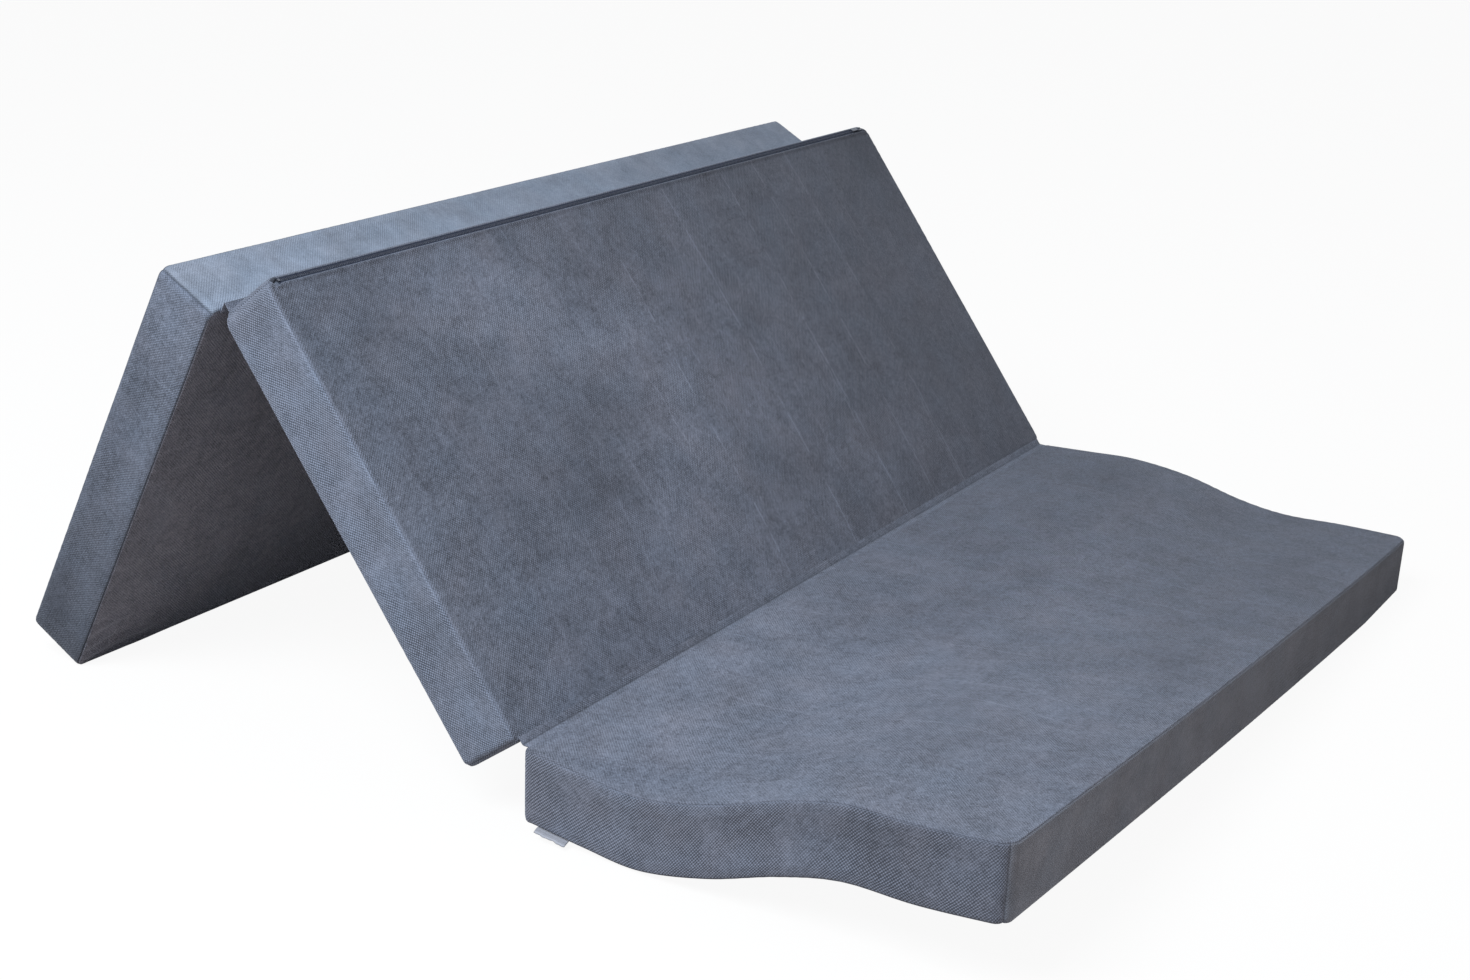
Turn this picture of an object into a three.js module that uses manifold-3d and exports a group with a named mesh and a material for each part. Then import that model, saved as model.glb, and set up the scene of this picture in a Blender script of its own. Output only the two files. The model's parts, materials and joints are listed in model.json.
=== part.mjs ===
// A folding mattress of three foam panels, standing half folded: the front panel lies on the floor, the middle
// panel leans back from it, and the rear panel comes down behind to the floor. Millimetres, +Z up, +X along the
// folds, -Y towards the front. Every panel is drawn lying flat, sleeping side up, and its group then folds it.
import * as THREE from 'three';
import { mergeVertices } from 'three/addons/utils/BufferGeometryUtils.js';
import Module from 'manifold-3d';

const wasm = await Module();
wasm.setup();

// One panel.
const panelWidth = 1500;
const panelDepth = 650;
const panelThickness = 100;
const edgeRound = 16;
const roundShare = 0.29; // how far a corner draws in, of the rounding
const edgeInset = edgeRound * roundShare;
const topCrown = 5;
const baseCrown = 3.5;
const sideDrawIn = 3;
const clothThickness = 1.6;
const seamGap = 0.5;

// The two folds, and how the mattress stands.
const frontFoldClearance = 3;
const rearFoldClearance = 4;
const foldCloth = 1.4;
const foldEndSetIn = 20;
const middleLean = THREE.MathUtils.degToRad(37.7);
const foldLift = 14;
const cornerLift = 100;
const cornerDrop = 8;

// The wave in the front panel, from its front edge (0) to its fold (1). The left side's shape dies away to the
// right by the given power.
const leftFade = 1.25;
const waveHeight = 28;
const wavePlaceShares = [0, 0.17, 0.32, 0.45, 0.6, 0.75, 0.88, 1];
const leftWaveShares = [0, 0.08, 0.4, 0, -0.82, -1.15, -0.62, 0];
const rightWaveShares = [0, -0.2, -0.5, -0.28, 0.36, 0.55, 0.28, 0];

// Zip. The slider's and pull's sizes are across, along and out of the zip.
const zipEndSetIn = 20;
const zipLift = 0.4;
const tapeWidth = 3.2;
const tapeThickness = 0.8;
const coilWidth = 4;
const coilHeight = 2.2;
const stopLength = 4;
const sliderLength = 14;
const sliderWall = 1.2;
const sliderClearance = 0.35;
const archLength = 7;
const archWidth = 1.8;
const archBar = 0.9;
const archRise = 2.65;
const pullLength = 24;
const pullWidth = 6;
const pullThickness = 0.9;
const pullBar = 1.2;
const eyeLength = 4;
const eyeWidth = 2.8;
const pullEndRadius = 2;

// Label.
const labelWidth = 45;
const labelReach = 12;
const labelThickness = 0.8;
const labelFromFold = 20;
const labelEndHeight = 3;

// How finely the cloths are divided.
const widthSteps = 6;
const depthSteps = 6;
const waveSteps = 12;
const archSteps = 5;

function finish(color, roughness, metalness = 0) {
  return new THREE.MeshStandardMaterial({ color, roughness, metalness });
}

const paints = {
  foam: () => finish(0xe6dfc8, 0.95),
  cloth: () => finish(0x6e788c, 0.9),
  band: () => finish(0x667082, 0.92),
  tape: () => finish(0x2c3648, 0.85),
  coil: () => finish(0x25304a, 0.5),
  metal: () => finish(0x8d9096, 0.35, 0.9),
  label: () => finish(0xc9ccd2, 0.8),
};

// How close a place is to the faces of its panel: 1 on a face or outside it, 0 where the rounding ends.
function edgeShare(place, size) {
  const inside = Math.min(place, size - place);
  return THREE.MathUtils.clamp(1 - inside / edgeRound, 0, 1);
}

// 0 in the rounded edges and 1 at the middle, rising by the given power.
function bulge(place, size, power) {
  const share = (place - edgeRound) / (size - edgeRound * 2);
  return 1 - Math.abs(THREE.MathUtils.clamp(share, 0, 1) * 2 - 1) ** power;
}

// A place in a plain block is moved to where it lies in the soft panel.
function soften(x, y, n, lowerCrown) {
  const ex = edgeShare(x, panelWidth);
  const ey = edgeShare(y, panelDepth);
  const en = edgeShare(n, panelThickness);
  const waist = bulge(n, panelThickness, 1) * sideDrawIn;
  const inX = edgeInset * (1 - (1 - ey) * (1 - en)) + waist * bulge(y, panelDepth, 4);
  const inY = edgeInset * (1 - (1 - ex) * (1 - en)) + waist * bulge(x, panelWidth, 6);
  const inN = edgeInset * (1 - (1 - ex) * (1 - ey));
  const crown = bulge(x, panelWidth, 6) * bulge(y, panelDepth, 4);
  const height = n / panelThickness;
  return new THREE.Vector3(
    x - Math.sign(x - panelWidth / 2) * ex * inX,
    y - Math.sign(y - panelDepth / 2) * ey * inY,
    n - Math.sign(n - panelThickness / 2) * en * inN + crown * (height * topCrown - (1 - height) * lowerCrown),
  );
}

function softenPlain(x, y, n) {
  return soften(x, y, n, baseCrown);
}

function waveCurve(shares) {
  const points = shares.map((share, i) => new THREE.Vector3(wavePlaceShares[i], share * waveHeight, 0));
  return new THREE.CatmullRomCurve3(points, false, 'catmullrom', 0.5);
}

const leftWave = waveCurve(leftWaveShares);
const rightWave = waveCurve(rightWaveShares);

// The height of a wave curve at a share of the depth, found by halving.
function waveAt(curve, share) {
  let low = 0;
  let high = 1;
  for (let i = 0; i < 30; i += 1) {
    const middle = (low + high) / 2;
    if (curve.getPoint(middle).x < share) low = middle;
    else high = middle;
  }
  return curve.getPoint(low).y;
}

// How high the front panel's underside would lie if the floor didn't stop it.
function frontRise(x, y) {
  const fromFront = THREE.MathUtils.clamp(y / (panelDepth - edgeRound), 0, 1);
  const left = THREE.MathUtils.lerp(cornerLift, foldLift, fromFront) + waveAt(leftWave, fromFront);
  const right = THREE.MathUtils.lerp(-cornerDrop, foldLift, fromFront) + waveAt(rightWave, fromFront);
  return THREE.MathUtils.lerp(right, left, (1 - x / panelWidth) ** leftFade);
}

// The front panel follows its wave and is pressed flat where it meets the floor.
function softenFront(x, y, n) {
  const place = soften(x, y, n, 0);
  const rise = frontRise(x, y);
  const base = Math.max(0, rise);
  const share = place.z / panelThickness;
  place.z = base + (rise + panelThickness - base) * share;
  return place;
}

// Places along one side of a panel: both ends, where each rounding ends, and even steps between.
function stations(low, high, size, steps) {
  const list = [low];
  for (let i = 0; i <= steps; i += 1) list.push(edgeRound + ((size - edgeRound * 2) * i) / steps);
  list.push(high);
  return list;
}

// A closed block whose faces are divided at the stations and moved by the place function. Each small face is
// cut along the line that runs to the nearest corner of the block, so that neighbouring blocks stay parallel.
function softBlock(xs, ys, ns, place) {
  const positions = [];
  const index = [];
  const ids = new Map();
  const vertex = (i, j, k) => {
    const key = `${i},${j},${k}`;
    if (!ids.has(key)) {
      ids.set(key, positions.length / 3);
      positions.push(...place(xs[i], ys[j], ns[k]).toArray());
    }
    return ids.get(key);
  };
  const quad = (a, b, c, d, turned) => {
    if (turned) index.push(a, b, d, b, c, d);
    else index.push(a, b, c, a, c, d);
  };
  const lastX = xs.length - 1;
  const lastY = ys.length - 1;
  const lastN = ns.length - 1;
  const turned = (a, lastA, b, lastB) => (a * 2 < lastA) !== (b * 2 < lastB);
  const ring = (a, b, turn) => {
    const [a0, a1, a2, a3] = a;
    const [b0, b1, b2, b3] = b;
    quad(a0, a1, a2, a3, turn);
    quad(b0, b3, b2, b1, turn);
  };
  for (let i = 0; i < lastX; i += 1) {
    for (let j = 0; j < lastY; j += 1) {
      const corners = (k) => [vertex(i, j, k), vertex(i + 1, j, k), vertex(i + 1, j + 1, k), vertex(i, j + 1, k)];
      ring(corners(lastN), corners(0), turned(i, lastX, j, lastY));
    }
    for (let k = 0; k < lastN; k += 1) {
      const corners = (j) => [vertex(i, j, k), vertex(i + 1, j, k), vertex(i + 1, j, k + 1), vertex(i, j, k + 1)];
      ring(corners(0), corners(lastY), turned(i, lastX, k, lastN));
    }
  }
  for (let j = 0; j < lastY; j += 1) {
    for (let k = 0; k < lastN; k += 1) {
      const corners = (i) => [vertex(i, j, k), vertex(i, j + 1, k), vertex(i, j + 1, k + 1), vertex(i, j, k + 1)];
      ring(corners(lastX), corners(0), turned(j, lastY, k, lastN));
    }
  }
  const geometry = new THREE.BufferGeometry();
  geometry.setAttribute('position', new THREE.Float32BufferAttribute(positions, 3));
  geometry.setIndex(index);
  return geometry;
}

function piece(group, name, geometry, material) {
  const mesh = new THREE.Mesh(geometry, material);
  mesh.name = name;
  group.add(mesh);
  return mesh;
}

// The foam block and the six cloths of one panel, in the panel's own flat place.
function panel(prefix, nearBand, farBand, place, steps) {
  const group = new THREE.Group();
  const inside = clothThickness + seamGap;
  const fullX = stations(0, panelWidth, panelWidth, widthSteps);
  const fullY = stations(0, panelDepth, panelDepth, steps);
  const innerX = stations(inside, panelWidth - inside, panelWidth, widthSteps);
  const innerY = stations(inside, panelDepth - inside, panelDepth, steps);
  const innerN = stations(inside, panelThickness - inside, panelThickness, 2);
  const leftX = [0, clothThickness];
  const rightX = [panelWidth - clothThickness, panelWidth];
  const nearY = [0, clothThickness];
  const farY = [panelDepth - clothThickness, panelDepth];
  const baseN = [0, clothThickness];
  const topN = [panelThickness - clothThickness, panelThickness];
  piece(group, `${prefix}_foam_core`, softBlock(innerX, innerY, innerN, place), paints.foam());
  piece(group, `${prefix}_top_cloth`, softBlock(fullX, fullY, topN, place), paints.cloth());
  piece(group, `${prefix}_base_cloth`, softBlock(fullX, fullY, baseN, place), paints.cloth());
  piece(group, `${prefix}_left_band`, softBlock(leftX, fullY, innerN, place), paints.band());
  piece(group, `${prefix}_right_band`, softBlock(rightX, fullY, innerN, place), paints.band());
  piece(group, nearBand, softBlock(innerX, nearY, innerN, place), paints.band());
  piece(group, farBand, softBlock(innerX, farY, innerN, place), paints.band());
  return group;
}

function solid(geometry) {
  geometry.deleteAttribute('normal');
  geometry.deleteAttribute('uv');
  const merged = mergeVertices(geometry);
  return new wasm.Manifold(new wasm.Mesh({
    numProp: 3,
    vertProperties: new Float32Array(merged.attributes.position.array),
    triVerts: new Uint32Array(merged.index.array),
  }));
}

function fromSolid(body) {
  const mesh = body.getMesh();
  const geometry = new THREE.BufferGeometry();
  geometry.setAttribute('position', new THREE.Float32BufferAttribute(mesh.vertProperties, 3));
  geometry.setIndex(Array.from(mesh.triVerts));
  return geometry;
}

// An outline across the zip, run along it and centred on the zip's own middle.
function alongZip(shape, length) {
  const geometry = new THREE.ExtrudeGeometry(shape, { depth: length, bevelEnabled: false });
  geometry.translate(0, 0, -length / 2);
  geometry.rotateX(Math.PI / 2);
  geometry.rotateZ(Math.PI / 2);
  return geometry;
}

function rectangle(low, high) {
  const shape = new THREE.Shape();
  shape.moveTo(low.x, low.y);
  shape.lineTo(high.x, low.y);
  shape.lineTo(high.x, high.y);
  shape.lineTo(low.x, high.y);
  return shape;
}

// The coil's outline: flat below, with a low round back.
function coilGeometry(length) {
  const half = coilWidth / 2;
  const shape = new THREE.Shape();
  shape.moveTo(-half, zipLift);
  shape.lineTo(half, zipLift);
  for (let i = 0; i <= archSteps; i += 1) {
    const angle = (Math.PI * i) / archSteps;
    const rise = coilHeight * (1 + Math.sin(angle)) / 2;
    shape.lineTo(half * Math.cos(angle), zipLift + rise);
  }
  return alongZip(shape, length);
}

const tapeTop = zipLift + tapeThickness;
const coilTop = zipLift + coilHeight;
const sliderInside = coilWidth / 2 + sliderClearance;
const sliderTop = coilTop + sliderClearance + sliderWall;
const pivotHeight = sliderTop + sliderClearance + pullThickness / 2;

// The slider straddles the coil, and its arch holds the pull.
function sliderGeometry() {
  const outer = sliderInside + sliderWall;
  const foot = tapeTop + sliderClearance;
  const under = coilTop + sliderClearance;
  const shape = new THREE.Shape();
  shape.moveTo(-outer, foot);
  shape.lineTo(-sliderInside, foot);
  shape.lineTo(-sliderInside, under);
  shape.lineTo(sliderInside, under);
  shape.lineTo(sliderInside, foot);
  shape.lineTo(outer, foot);
  shape.lineTo(outer, sliderTop);
  shape.lineTo(-outer, sliderTop);
  const half = archLength / 2;
  const low = sliderTop - sliderWall / 2;
  const high = sliderTop + archRise;
  const side = rectangle(new THREE.Vector2(-half, low), new THREE.Vector2(half, high));
  const window = new THREE.Path();
  window.moveTo(-half + archBar, sliderTop);
  window.lineTo(-half + archBar, high - archBar);
  window.lineTo(half - archBar, high - archBar);
  window.lineTo(half - archBar, sliderTop);
  side.holes.push(window);
  const arch = new THREE.ExtrudeGeometry(side, { depth: archWidth, bevelEnabled: false });
  arch.translate(0, 0, -archWidth / 2);
  arch.rotateX(Math.PI / 2);
  return fromSolid(solid(alongZip(shape, sliderLength)).add(solid(arch)));
}

// The pull lies flat along the zip. Its near bar passes under the arch.
function pullGeometry() {
  const half = pullWidth / 2;
  const start = -pullBar / 2;
  const end = pullLength;
  const shape = new THREE.Shape();
  shape.moveTo(start, -half);
  shape.lineTo(end - pullEndRadius, -half);
  shape.quadraticCurveTo(end, -half, end, 0);
  shape.quadraticCurveTo(end, half, end - pullEndRadius, half);
  shape.lineTo(start, half);
  const eye = new THREE.Path();
  eye.moveTo(pullBar / 2, -eyeWidth / 2);
  eye.lineTo(pullBar / 2, eyeWidth / 2);
  eye.lineTo(pullBar / 2 + eyeLength, eyeWidth / 2);
  eye.lineTo(pullBar / 2 + eyeLength, -eyeWidth / 2);
  shape.holes.push(eye);
  const geometry = new THREE.ExtrudeGeometry(shape, {
    depth: pullThickness, bevelEnabled: false, curveSegments: archSteps,
  });
  geometry.translate(0, 0, -pullThickness / 2);
  return geometry;
}

// One zip along the far edge of a panel, on its sleeping side or on its underside.
function zip(prefix, onBase) {
  const group = new THREE.Group();
  const slope = Math.atan2(edgeInset, edgeRound - edgeInset);
  const height = edgeInset / 2;
  const run = (edgeRound - edgeInset) / 2;
  group.position.set(panelWidth / 2, panelDepth - edgeInset - run, onBase ? height : panelThickness - height);
  group.rotation.x = onBase ? Math.PI + slope : -slope;
  const length = panelWidth - zipEndSetIn * 2;
  const tapeInner = coilWidth / 2 + seamGap;
  const tapeOuter = tapeInner + tapeWidth;
  const upperTape = rectangle(new THREE.Vector2(tapeInner, zipLift), new THREE.Vector2(tapeOuter, tapeTop));
  const lowerTape = rectangle(new THREE.Vector2(-tapeOuter, zipLift), new THREE.Vector2(-tapeInner, tapeTop));
  const stop = rectangle(new THREE.Vector2(-coilWidth / 2, zipLift), new THREE.Vector2(coilWidth / 2, coilTop));
  const coilLength = length - (stopLength + seamGap) * 2;
  piece(group, `${prefix}_zip_near_tape`, alongZip(upperTape, length), paints.tape());
  piece(group, `${prefix}_zip_far_tape`, alongZip(lowerTape, length), paints.tape());
  piece(group, `${prefix}_zip_coil`, coilGeometry(coilLength), paints.coil());
  const stopPlace = (length - stopLength) / 2;
  piece(group, `${prefix}_zip_left_stop`, alongZip(stop, stopLength), paints.metal()).position.x = -stopPlace;
  piece(group, `${prefix}_zip_right_stop`, alongZip(stop, stopLength), paints.metal()).position.x = stopPlace;
  const runner = new THREE.Group();
  runner.position.x = (coilLength - sliderLength) / 2;
  runner.rotation.z = Math.PI;
  piece(runner, `${prefix}_zip_slider`, sliderGeometry(), paints.metal());
  piece(runner, `${prefix}_zip_pull`, pullGeometry(), paints.metal()).position.z = pivotHeight;
  group.add(runner);
  return group;
}

// The cloth that joins two panels spans from the drawn-in edge of one to that of the other.
function foldStrip(clearance, turn, above) {
  const reach = clearance + edgeInset;
  const rise = above ? -reach : reach;
  const from = new THREE.Vector2(-reach, rise);
  const to = new THREE.Vector2(reach, rise).rotateAround(new THREE.Vector2(), turn);
  const along = to.clone().sub(from).normalize();
  const across = new THREE.Vector2(-along.y, along.x).multiplyScalar(foldCloth / 2);
  const start = from.addScaledVector(along, foldCloth);
  const end = to.addScaledVector(along, -foldCloth);
  const shape = new THREE.Shape([
    start.clone().sub(across), end.clone().sub(across), end.clone().add(across), start.clone().add(across),
  ]);
  return alongZip(shape, panelWidth - foldEndSetIn * 2);
}

// A blank folded label, sewn into the lower left seam beside the fold and lying towards the floor.
function labelGeometry() {
  const farY = panelDepth - labelFromFold;
  const place = (reach, y, n) => {
    const seam = softenFront(0, y, 0);
    const height = THREE.MathUtils.lerp(seam.z - labelThickness - seamGap, labelEndHeight, reach / labelReach);
    return new THREE.Vector3(seam.x - seamGap - reach, seam.y, height + n);
  };
  return softBlock([labelReach, 0], [farY - labelWidth, farY], [0, labelThickness], place);
}

// The rear panel comes down until its rounded lower edge meets the floor.
function rearLean(foldHeight) {
  const reach = rearFoldClearance + panelDepth - edgeInset;
  const side = rearFoldClearance + edgeInset;
  return Math.acos(foldHeight / Math.hypot(reach, side)) - Math.atan2(side, reach);
}

const mattress = new THREE.Group();

const frontPanel = panel('front', 'front_nose_band', 'front_fold_band', softenFront, waveSteps);
frontPanel.position.set(-panelWidth / 2, -frontFoldClearance - panelDepth, 0);
piece(frontPanel, 'front_label', labelGeometry(), paints.label());
const frontZip = zip('front', true);
frontZip.position.z += foldLift;
frontPanel.add(frontZip);
mattress.add(frontPanel);

const frontFold = new THREE.Group();
frontFold.position.z = foldLift + panelThickness + frontFoldClearance;
const frontTurn = Math.PI / 2 - middleLean;
piece(frontFold, 'front_fold_strip', foldStrip(frontFoldClearance, frontTurn, true), paints.cloth());
mattress.add(frontFold);

const middleHinge = new THREE.Group();
middleHinge.rotation.x = frontTurn;
const middlePanel = panel('middle', 'middle_lower_band', 'middle_upper_band', softenPlain, depthSteps);
middlePanel.position.set(-panelWidth / 2, frontFoldClearance, -frontFoldClearance - panelThickness);
middlePanel.add(zip('middle', false));
middleHinge.add(middlePanel);
frontFold.add(middleHinge);

const rearFold = new THREE.Group();
const rearFoldAlong = frontFoldClearance + panelDepth + rearFoldClearance;
const rearFoldBack = frontFoldClearance + panelThickness + rearFoldClearance;
rearFold.position.set(0, rearFoldAlong, -rearFoldBack);
const rearFoldHeight = frontFold.position.z + rearFoldAlong * Math.cos(middleLean)
  - rearFoldBack * Math.sin(middleLean);
const rearTurn = rearLean(rearFoldHeight) + middleLean - Math.PI;
piece(rearFold, 'rear_fold_strip', foldStrip(rearFoldClearance, rearTurn, false), paints.cloth());
middleHinge.add(rearFold);

const rearHinge = new THREE.Group();
rearHinge.rotation.x = rearTurn;
const rearPanel = panel('rear', 'rear_upper_band', 'rear_lower_band', softenPlain, depthSteps);
rearPanel.position.set(-panelWidth / 2, rearFoldClearance, rearFoldClearance);
rearPanel.add(zip('rear', false));
rearHinge.add(rearPanel);
rearFold.add(rearHinge);

// The origin is on the floor, under the middle of the whole mattress.
mattress.updateMatrixWorld(true);
const middle = new THREE.Box3().setFromObject(mattress, true).getCenter(new THREE.Vector3());
mattress.position.set(-middle.x, -middle.y, 0);

export default mattress;
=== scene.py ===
import json
import math

import bmesh
import bpy
import numpy as np
from mathutils import Matrix, Vector


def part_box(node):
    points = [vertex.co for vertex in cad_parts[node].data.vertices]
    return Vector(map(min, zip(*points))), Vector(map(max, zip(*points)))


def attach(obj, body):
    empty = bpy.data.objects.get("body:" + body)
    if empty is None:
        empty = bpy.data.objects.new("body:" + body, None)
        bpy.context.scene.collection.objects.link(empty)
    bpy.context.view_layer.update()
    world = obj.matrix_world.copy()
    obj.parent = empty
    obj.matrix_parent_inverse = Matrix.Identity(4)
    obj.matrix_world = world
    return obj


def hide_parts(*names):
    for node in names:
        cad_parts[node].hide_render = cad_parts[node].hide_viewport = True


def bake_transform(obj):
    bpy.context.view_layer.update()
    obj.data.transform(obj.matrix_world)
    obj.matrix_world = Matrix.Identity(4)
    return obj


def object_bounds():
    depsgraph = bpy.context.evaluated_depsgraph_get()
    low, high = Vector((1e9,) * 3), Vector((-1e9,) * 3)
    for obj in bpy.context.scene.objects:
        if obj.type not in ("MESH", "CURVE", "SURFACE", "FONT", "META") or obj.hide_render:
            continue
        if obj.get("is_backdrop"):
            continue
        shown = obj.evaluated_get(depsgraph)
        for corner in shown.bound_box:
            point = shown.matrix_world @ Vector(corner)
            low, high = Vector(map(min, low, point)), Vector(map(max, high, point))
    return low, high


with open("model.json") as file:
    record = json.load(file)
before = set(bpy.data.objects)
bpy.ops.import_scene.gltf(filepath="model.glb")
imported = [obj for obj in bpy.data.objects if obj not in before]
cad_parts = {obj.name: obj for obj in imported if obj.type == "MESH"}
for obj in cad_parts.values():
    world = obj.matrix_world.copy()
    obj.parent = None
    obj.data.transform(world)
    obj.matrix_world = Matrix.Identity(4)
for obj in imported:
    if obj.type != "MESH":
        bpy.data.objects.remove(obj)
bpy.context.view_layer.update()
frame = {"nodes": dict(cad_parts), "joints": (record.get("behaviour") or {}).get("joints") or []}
joints = {joint["name"]: joint for joint in frame["joints"]}
print("frame loaded,", len(frame["nodes"]), "nodes")

# The sizes of one panel, as in the model, in metres.
panelSizes = {
    "width": 1.5,
    "depth": 0.65,
    "thickness": 0.1,
    "edgeRound": 0.016,
    "drawnIn": 0.016 * 0.29,
    "cornerPower": 4.8,      # 2 is a round edge, more is squarer
    # the corners in plan, at a panel's near and far end
    "cornerRounds": {"front": (0.02, 0.01), "middle": (0.012, 0.026), "rear": (0.016, 0.016)},
    "zipPower": 2.2,
    "zipReach": (0.03, 0.018),
    "zipEnds": (0.002, 0.007),
    "topCrown": 0.005,
    "baseCrown": 0.0035,
    "sideDrawIn": 0.003,
    "fullness": (6, 4, 2),   # how early a crown or a waist is full, along the width, depth and thickness
}
panelSpan = (panelSizes["width"], panelSizes["depth"], panelSizes["thickness"])

# How the panels stand.
standing = {
    "frontClearance": 0.003,
    "rearClearance": 0.004,
    "middleLean": math.radians(37.7),
    "foldLift": 0.014,
    "cornerLift": 0.1,
    "cornerDrop": 0.008,
    "leftFade": 1.25,
    "waveHeight": 0.028,
    "waveSteps": 60,
    "wavePlaces": [0, 0.17, 0.32, 0.45, 0.6, 0.75, 0.88, 1],
    "leftWave": [0, 0.08, 0.4, 0, -0.82, -1.15, -0.62, 0],
    "rightWave": [0, -0.2, -0.5, -0.28, 0.36, 0.55, 0.28, 0],
}


def smooth(value, low, high):
    share = np.clip((value - low) / (high - low), 0, 1)
    return share * share * (3 - 2 * share)


def peak(distance, width):
    return np.exp(-(distance / width) ** 2)


def bulge(place, size, power):
    # 0 in the rounded edges and 1 at the middle
    edge = panelSizes["edgeRound"]
    share = np.clip((place - edge) / (size - 2 * edge), 0, 1)
    return 1 - np.abs(share * 2 - 1) ** power


def waveCurve(heights):
    # a smooth curve through the wave's points, as x and height samples
    points = [(x, h * standing["waveHeight"]) for x, h in zip(standing["wavePlaces"], heights)]
    points = [(2 * points[0][0] - points[1][0], 2 * points[0][1] - points[1][1])] + points
    points.append((2 * points[-1][0] - points[-2][0], 2 * points[-1][1] - points[-2][1]))
    points = np.array(points)
    steps = np.linspace(0, 1, standing["waveSteps"], endpoint=False)[:, None]
    runs = []
    for i in range(len(points) - 3):
        a, b, c, d = points[i:i + 4]
        start, end = (c - a) / 2, (d - b) / 2
        runs.append(b + start * steps + (3 * (c - b) - 2 * start - end) * steps ** 2
                    + (2 * (b - c) + start + end) * steps ** 3)
    return np.vstack([*runs, points[-2][None]]).T


leftWave = waveCurve(standing["leftWave"])
rightWave = waveCurve(standing["rightWave"])


def frontRise(x, y):
    # how high the front panel's underside would lie if the floor didn't stop it
    lift, drop, far = standing["cornerLift"], standing["cornerDrop"], standing["foldLift"]
    fromFront = np.clip(y / (panelSizes["depth"] - panelSizes["edgeRound"]), 0, 1)
    left = lift + (far - lift) * fromFront + np.interp(fromFront, *leftWave)
    right = -drop + (far + drop) * fromFront + np.interp(fromFront, *rightWave)
    share = (1 - np.clip(x / panelSizes["width"], 0, 1)) ** standing["leftFade"]
    return right + (left - right) * share


def edgePower(name, x, y, n):
    # the edge is rounder under the zip
    p = panelSizes
    width, depth, thick = panelSpan
    rise = thick - n if name == "front" else n
    start, full = p["zipReach"]
    close = smooth(y, depth - start, depth - full) * smooth(rise, thick - start, thick - full)
    ends = smooth(np.minimum(x, width - x), *p["zipEnds"])
    return p["cornerPower"] + (p["zipPower"] - p["cornerPower"]) * close * ends


def softPlace(x, y, n, lowerCrown, power):
    # takes a place on the plain block's skin to the soft skin, and gives its outward direction
    p = panelSizes
    radius = p["edgeRound"]
    inner, direction = [], []
    for place, size in zip((x, y, n), panelSpan):
        low = np.clip(place, radius, size - radius)
        inner.append(low)
        direction.append(np.tan(np.clip((place - low) / radius, -1, 1) * math.pi / 4))
    length = sum(np.abs(d) ** power for d in direction) ** (1 / power)
    length = np.maximum(length, 1e-9)
    px, py, pn = [i + d / length * radius for i, d in zip(inner, direction)]
    fullX, fullY, fullN = (bulge(*each) for each in zip((x, y, n), panelSpan, p["fullness"]))
    waist = fullN * p["sideDrawIn"]
    px = px - direction[0] / length * waist * fullY
    py = py - direction[1] / length * waist * fullX
    height = n / p["thickness"]
    pn = pn + fullX * fullY * (height * p["topCrown"] - (1 - height) * lowerCrown)
    out = np.stack([d / length for d in direction], 1)
    return px, py, pn, out / np.linalg.norm(out, axis=1)[:, None]


def panelSkin(name, x, y, n):
    # the soft skin of a panel in its own flat frame, with its outward directions
    crown = 0 if name == "front" else panelSizes["baseCrown"]
    px, py, pn, out = softPlace(x, y, n, crown, edgePower(name, x, y, n))
    if name == "front":
        rise = frontRise(px, py)
        base = np.maximum(0, rise)
        thick = panelSizes["thickness"]
        pn = base + (rise + thick - base) * pn / thick
    return np.stack([px, py, pn], 1), out


def roundCorners(name, points):
    # draws the four upright corners in to a round plan
    reach = np.where(points[:, 1] < panelSizes["depth"] / 2, *panelSizes["cornerRounds"][name])
    a, b = (reach - np.minimum(points[:, axis], panelSpan[axis] - points[:, axis]) for axis in (0, 1))
    kept = np.where((a > 0) & (b > 0), np.maximum(a, b) / np.maximum(np.hypot(a, b), 1e-9), 1)
    for axis, gap in ((0, a), (1, b)):
        inward = np.where(points[:, axis] < panelSpan[axis] / 2, 1, -1)
        points[:, axis] += inward * gap * (1 - kept)
    return points


def foldPivots():
    # the two hinge lines, each as its point in the middle of the panels' width
    low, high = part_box("middle_foam_core")
    pivots = [Vector(joints[name]["pos_m"]) for name in ("front_fold", "rear_fold")]
    for pivot in pivots:
        pivot.x = (low.x + high.x) / 2
    return pivots


firstFold, secondFold = foldPivots()
frontTurn = math.pi / 2 - standing["middleLean"]


def standingFrames():
    width, depth, thick = panelSpan
    half = width / 2
    front, rear = standing["frontClearance"], standing["rearClearance"]
    reach = rear + depth - panelSizes["drawnIn"]
    side = rear + panelSizes["drawnIn"]
    rearLean = math.acos(secondFold.z / math.hypot(reach, side)) - math.atan2(side, reach)
    rearTurn = frontTurn + rearLean + standing["middleLean"] - math.pi
    return {
        "front": Matrix.Translation((firstFold.x - half, firstFold.y - front - depth, 0)),
        "middle": Matrix.Translation(firstFold) @ Matrix.Rotation(frontTurn, 4, "X")
        @ Matrix.Translation((-half, front, -front - thick)),
        "rear": Matrix.Translation(secondFold) @ Matrix.Rotation(rearTurn, 4, "X")
        @ Matrix.Translation((-half, rear, rear)),
    }


frames = standingFrames()


def moved(matrix, points):
    matrix = np.array(matrix)
    return points @ matrix[:3, :3].T + matrix[:3, 3]


def turned(name, directions):
    return directions @ np.array(frames[name])[:3, :3].T


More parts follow.
